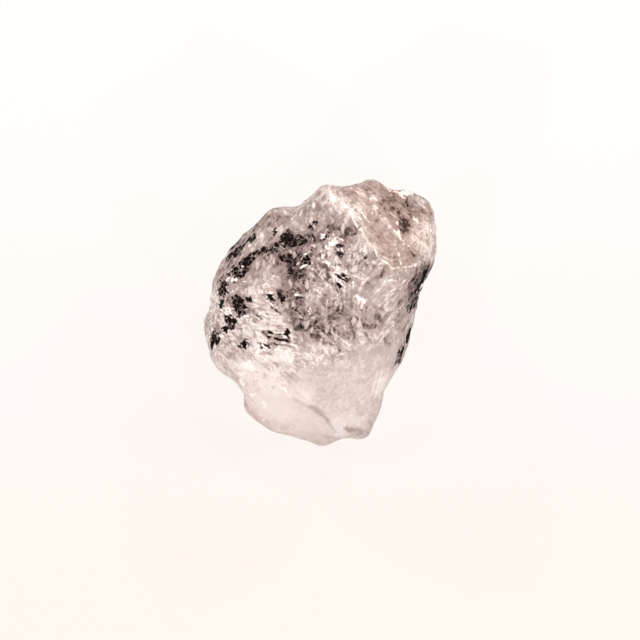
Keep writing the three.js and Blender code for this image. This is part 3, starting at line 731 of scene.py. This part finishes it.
class Shader:
    """Adds nodes to a material and links them, by their input names."""

    def __init__(self, material):
        material.use_nodes = True
        self.tree = material.node_tree
        self.tree.nodes.clear()

    def add(self, kind, inputs=None, **settings):
        """A new node, with each input linked to a socket or set to a value."""
        node = self.tree.nodes.new(kind)
        for name, value in settings.items():
            setattr(node, name, value)
        for name, value in (inputs or {}).items():
            if isinstance(value, bpy.types.NodeSocket):
                self.tree.links.new(value, node.inputs[name])
            else:
                node.inputs[name].default_value = value
        return node

    def field(self, name, output="Fac"):
        """What keep_field kept on the mesh."""
        return self.add("ShaderNodeAttribute", attribute_name=name).outputs[output]

    def math(self, operation, *values):
        return self.add("ShaderNodeMath", dict(enumerate(values)), operation=operation).outputs[0]

    def vector(self, operation, *values):
        return self.add("ShaderNodeVectorMath", dict(enumerate(values)), operation=operation).outputs[0]

    def times(self, first, *others):
        """The product of all the values."""
        product = first
        for value in others:
            product = self.math("MULTIPLY", product, value)
        return product

    def rest(self, value):
        """What is left of 1."""
        return self.math("SUBTRACT", 1.0, value)

    def centred(self, value):
        """A random number from 0 to 1, moved to lie about 0."""
        return self.math("SUBTRACT", value, 0.5)

    def total(self, *terms):
        """The sum of terms, each a value and what it is multiplied by."""
        sum_so_far = 0.0
        for value, weight in terms:
            sum_so_far = self.math("MULTIPLY_ADD", value, weight, sum_so_far)
        return sum_so_far

    def blend(self, patterns, weights):
        """The sum of random patterns, each centred and with its weight."""
        return self.total(*((self.centred(patterns[name]), weight) for name, weight in weights.items()))

    def highest(self, *values):
        top = values[0]
        for value in values[1:]:
            top = self.math("MAXIMUM", top, value)
        return top

    def step(self, value, low, high):
        """0 at low and 1 at high, and smooth between."""
        inputs = {"Value": value, "From Min": low, "From Max": high}
        return self.add("ShaderNodeMapRange", inputs, interpolation_type="SMOOTHSTEP").outputs[0]

    def noise(self, place, size, detail, roughness, output="Fac"):
        """Smooth noise from 0 to 1, with bumps about one size across."""
        inputs = {"Vector": place, "Scale": 1 / size, "Detail": detail, "Roughness": roughness}
        return self.add("ShaderNodeTexNoise", inputs).outputs[output]

    def cells(self, place, size, feature="F1"):
        """Cells about one size across, each with its own random colour."""
        return self.add("ShaderNodeTexVoronoi", {"Vector": place, "Scale": 1 / size}, feature=feature).outputs

    def random_of(self, cells):
        """A random number from 0 to 1 for each cell."""
        return self.add("ShaderNodeSeparateColor", {"Color": cells["Color"]}).outputs[0]

    def gradient(self, value, stops):
        """A colour for each value, from stops of a position and a colour."""
        node = self.add("ShaderNodeValToRGB", {"Fac": value})
        elements = node.color_ramp.elements
        elements.remove(elements[0])
        for i, (position, colour) in enumerate(stops):
            element = elements[0] if i == 0 else elements.new(position)
            element.position = position
            element.color = (*colour, 1)
        return node.outputs["Color"]


def fibres(s):
    """Splinters and fine fibres, which run the way that the mesh says, as numbers about 0."""
    terms = []
    for way in WAYS:
        place = s.field(f"{way} place", "Vector")
        parts = {"cell": s.random_of(s.cells(place, FIBRE_CELL_SIZE)), "noise": s.noise(place, **FIBRE_NOISE)}
        terms.append((s.blend(parts, FIBRE_WEIGHTS), s.field(f"{way} share")))
    return s.total(*terms)


def random_patterns(s):
    """The patterns that the marks, the mottling and the relief are made of, by name."""
    straight = s.field("place", "Vector")
    warp = s.vector("SUBTRACT", s.noise(straight, **WARP, output="Color"), MIDDLE)
    place = s.vector("MULTIPLY_ADD", warp, WARP_REACH, straight)
    chips = s.cells(place, CHIP_SIZE)
    splinters = s.cells(s.vector("MULTIPLY", place, SPLINTER_SQUEEZE), SPLINTER_SIZE)
    patterns = {
        "shard": s.random_of(s.cells(place, SHARD_SIZE)),
        "chip": s.random_of(chips),
        "chip tilt": s.vector("SUBTRACT", chips["Color"], MIDDLE),
        "chip edge": s.cells(place, CHIP_SIZE, "DISTANCE_TO_EDGE")["Distance"],
        "splinter": s.random_of(splinters),
        "cloud": s.noise(straight, **CLOUD),
        "fine": s.noise(straight, **FINE),
        "fibre": fibres(s),
    }
    patterns["grain"] = s.times(patterns["fibre"], s.field("fibrous"))
    patterns["jag"] = s.blend(patterns, JAG_WEIGHTS)
    patterns["mottle"] = s.times(s.blend(patterns, MOTTLE_WEIGHTS), s.field("contrast"))
    return patterns


def inside_mark(s, patterns, name):
    """How far inside a kind of mark a point is, in millimetres, once its edge is made ragged.

    Marks end in shards, not in round ends: each chip and splinter takes or leaves them as a whole.
    """
    shifts = ((patterns[pattern], weight) for pattern, weight in MARK_SHIFTS[name].items())
    return s.total(*shifts, (s.field(name), 1.0))


def mark(s, patterns, name):
    """How much a kind of mark covers the stone."""
    return s.step(inside_mark(s, patterns, name), *MARK_EDGES[name])


def dark_reflections_and_streaks(s, patterns, depth):
    """The black marks, painted dark reflections that some cracks cut up, and the thin dark streaks."""
    cracks = s.times(s.step(patterns["chip edge"], *CRACK_WIDTH), s.step(patterns["cloud"], *CRACK_CLOUDS))
    dark_reflections = s.times(s.step(depth, *MARK_EDGES["black"]), s.rest(cracks))
    return s.highest(dark_reflections, mark(s, patterns, "streak"))


def bright_spots(s, patterns, black_depth):
    """Painted highlights by name: cracks that glow between chips, sparkles, and a bright rim round black
    marks.
    """
    crisp = s.step(s.field("contrast"), *CRISP_CONTRAST)
    glow = s.times(
        s.step(patterns["chip edge"], *GLOW_WIDTH), crisp, s.step(patterns["cloud"], *GLOW_CLOUDS),
    )
    amount = s.math("MULTIPLY_ADD", crisp, 1 - PLAIN_SPARKLES, PLAIN_SPARKLES)
    sparkle = s.times(s.step(patterns["splinter"], *SPARKLE_SPLINTERS), amount)
    rim = s.times(s.step(black_depth, *RIM_DEPTH), s.step(patterns["splinter"], *RIM_SPLINTERS))
    return {"glow": glow, "sparkle": sparkle, "rim": rim}


def shade_of(s, patterns, black, spots):
    """How dark the stone is before the lines and the white splinters are laid over it."""
    shade = s.total(
        (s.field("shade"), 1.0),
        (patterns["mottle"], 1.0),
        (mark(s, patterns, "dusky"), DUSKY_SHADE),
        (patterns["grain"], GRAIN_SHADE),
    )
    bright = s.highest(*(s.times(spots[name], share) for name, share in BRIGHTNESS.items()))
    browns = s.math("MULTIPLY_ADD", shade, BROWN_RANGE, DARK_SHADE * (1 - BROWN_RANGE))
    brown = s.times(s.math("MINIMUM", shade, browns), s.rest(bright))
    return s.highest(brown, black)


def surface_normal(s, patterns, black, broken):
    """The way that the surface faces, with each chip of the broken parts tilted at random.

    Under the black marks the normal is turned up, so that they don't mirror the table.
    """
    push = s.vector("MULTIPLY", patterns["chip tilt"], s.times(broken, CHIP_TILT))
    black_upturn = s.add("ShaderNodeCombineXYZ", {"Z": s.times(black, BLACK_UPTURN)}).outputs[0]
    smooth_normal = s.add("ShaderNodeNewGeometry").outputs["Normal"]
    normal = s.vector("NORMALIZE", s.vector("ADD", s.vector("ADD", smooth_normal, push), black_upturn))
    bump = {
        "Height": s.math("ADD", patterns["fine"], patterns["grain"]),
        "Distance": BUMP_HEIGHT * MM,
        "Strength": BUMP_STRENGTH,
        "Normal": normal,
    }
    return s.add("ShaderNodeBump", bump).outputs[0]


def clearness(s, shade, opaque):
    """How see-through the stone is: less where it is milky, and not at all where it is dark or opaque."""
    milky = s.math("MULTIPLY_ADD", s.step(shade, *MILKY_SHADES), 1 - MILKY_CLEARNESS, MILKY_CLEARNESS)
    return s.times(s.step(shade, *CLEAR_SHADES), milky, s.rest(opaque))


def morganite_material():
    """Clear pinkish beryl with brown shade, black marks of painted dark reflections, and painted highlights
    and bright cracks.
    """
    material = bpy.data.materials.new("morganite")
    s = Shader(material)
    patterns = random_patterns(s)
    broken = s.field("broken")
    black_depth = inside_mark(s, patterns, "black")
    # painted dark reflections, and the thin dark streaks
    black = dark_reflections_and_streaks(s, patterns, black_depth)
    spots = bright_spots(s, patterns, black_depth)
    line = mark(s, patterns, "line")
    white = mark(s, patterns, "white")
    shade = s.times(shade_of(s, patterns, black, spots), s.rest(s.highest(line, white)))
    opaque = s.highest(white, s.times(line, OPACITY["line"]), s.times(spots["sparkle"], OPACITY["sparkle"]))

    colour = s.gradient(shade, SHADE_STOPS)
    tint = s.gradient(s.math("MULTIPLY_ADD", s.field("tint"), 0.5, 0.5), TINT_STOPS)
    surface = s.add(
        "ShaderNodeBsdfPrincipled",
        {
            "Base Color": s.vector("MULTIPLY", colour, tint),
            "Roughness": s.total((broken, BROKEN_ROUGHNESS), (black, BLACK_ROUGHNESS), (1.0, BASE_ROUGHNESS)),
            "IOR": IOR,
            "Specular IOR Level": SPECULAR_LEVEL,
            "Transmission Weight": s.times(clearness(s, shade, opaque), TRANSMISSION),
            "Normal": surface_normal(s, patterns, black, broken),
        },
    )
    body = s.add("ShaderNodeVolumeAbsorption", {"Color": BODY_COLOUR, "Density": BODY_DENSITY})
    s.add("ShaderNodeOutputMaterial", {"Surface": surface.outputs[0], "Volume": body.outputs[0]})
    return material


# -------------------- setting

TABLE_WIDTH = 3000.0
TABLE_DROP = 0.02  # how far it lies below the stone
TABLE_COLOUR = (0.09, 0.088, 0.085, 1)
TABLE_ROUGHNESS = 0.9
TABLE_SPECULAR_LEVEL = 0.1
TABLE_LIGHT = 0.89
TABLE_LIGHT_STOPS = (  # from the back to the front
    (0.0, (1.0, 0.99, 0.97)),
    (1.0, (1.0, 0.925, 0.87)),
)
ROOM_COLOUR = (1.0, 0.94, 0.91, 1)
ROOM_LIGHT = 0.2

# The soft square lights, all aimed at the stone: name, place, width, and power in watts.
LIGHT_COLOUR = (1.0, 0.95, 0.92)
SOFTBOXES = (
    ("key", (-280, -420, 320), 80, 1.4),
    ("fill", (450, 100, 320), 80, 1.0),
    ("back", (-300, 400, 300), 60, 0.8),
    ("front", (300, -400, 300), 60, 0.8),
    ("rear", (260, 420, 300), 60, 0.7),
    ("spark", (100, 250, 400), 30, 0.4),
    ("glint", (-200, 100, 400), 20, 0.3),
    ("twinkle", (150, -150, 420), 20, 0.3),
)
LIGHT_BOUNCES = 16  # enough for light to leave the clear stone again


def table_material():
    """A lit table top, a little warmer towards the front."""
    material = bpy.data.materials.new("light table")
    s = Shader(material)
    place = s.add("ShaderNodeTexCoord").outputs["Object"]
    y = s.add("ShaderNodeSeparateXYZ", {"Vector": place}).outputs["Y"]
    warmth = s.step(y, 0.5 * FRAME_WIDTH * MM, -0.5 * FRAME_WIDTH * MM)
    paper = s.add(
        "ShaderNodeBsdfPrincipled",
        {
            "Base Color": TABLE_COLOUR,
            "Roughness": TABLE_ROUGHNESS,
            "Specular IOR Level": TABLE_SPECULAR_LEVEL,
            "Emission Color": s.gradient(warmth, TABLE_LIGHT_STOPS),
            "Emission Strength": TABLE_LIGHT,
        },
    )
    s.add("ShaderNodeOutputMaterial", {"Surface": paper.outputs[0]})
    return material


def make_table():
    bpy.ops.mesh.primitive_plane_add(size=TABLE_WIDTH * MM, location=(0, 0, -TABLE_DROP * MM))
    table = bpy.context.object
    table.name = "table"
    table.data.materials.append(table_material())


def make_world():
    """A dim, warm room round the table."""
    world = bpy.data.worlds.new("room")
    bpy.context.scene.world = world
    world.use_nodes = True
    background = world.node_tree.nodes["Background"]
    background.inputs["Color"].default_value = ROOM_COLOUR
    background.inputs["Strength"].default_value = ROOM_LIGHT


def softbox(name, at, width, power):
    """A square area light at a place, aimed at the stone."""
    data = bpy.data.lights.new(name, "AREA")
    data.shape = "SQUARE"
    data.size = width * MM
    data.energy = power
    data.color = LIGHT_COLOUR
    light = bpy.data.objects.new(name, data)
    bpy.context.scene.collection.objects.link(light)
    light.location = Vector(at) * MM
    light.rotation_mode = "QUATERNION"
    aim = Vector((0, 0, OUTLINE_HEIGHT * MM)) - light.location
    light.rotation_quaternion = aim.to_track_quat("-Z", "Y")


def make_camera():
    """A long lens that looks straight down, from where the frame's width at the outline is right."""
    data = bpy.data.cameras.new("camera")
    data.lens = LENS
    data.sensor_width = SENSOR
    data.clip_start = CLIP_NEAR * MM
    data.clip_end = CLIP_FAR * MM
    camera = bpy.data.objects.new("camera", data)
    bpy.context.scene.collection.objects.link(camera)
    distance = FRAME_WIDTH * LENS / SENSOR
    camera.location = (AIM[0] * MM, AIM[1] * MM, (OUTLINE_HEIGHT + distance) * MM)
    bpy.context.scene.camera = camera


# -------------------- the scene

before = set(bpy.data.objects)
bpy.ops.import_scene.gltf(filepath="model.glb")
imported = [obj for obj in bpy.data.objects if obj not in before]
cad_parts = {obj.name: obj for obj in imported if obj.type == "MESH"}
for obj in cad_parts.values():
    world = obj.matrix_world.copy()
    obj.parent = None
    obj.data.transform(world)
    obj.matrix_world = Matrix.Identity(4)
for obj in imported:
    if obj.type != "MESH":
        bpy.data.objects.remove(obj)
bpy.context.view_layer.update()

stone = refined_copy(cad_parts["crystal"])
roughen(stone)
paint_fields(stone)
stone.data.materials.clear()
stone.data.materials.append(morganite_material())
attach(stone, "root")
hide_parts("crystal")

make_camera()
make_table()
make_world()
for name, at, width, power in SOFTBOXES:
    softbox(name, at, width, power)

scene = bpy.context.scene
scene.view_settings.view_transform = "Standard"
scene.cycles.max_bounces = LIGHT_BOUNCES
scene.cycles.transmission_bounces = LIGHT_BOUNCES
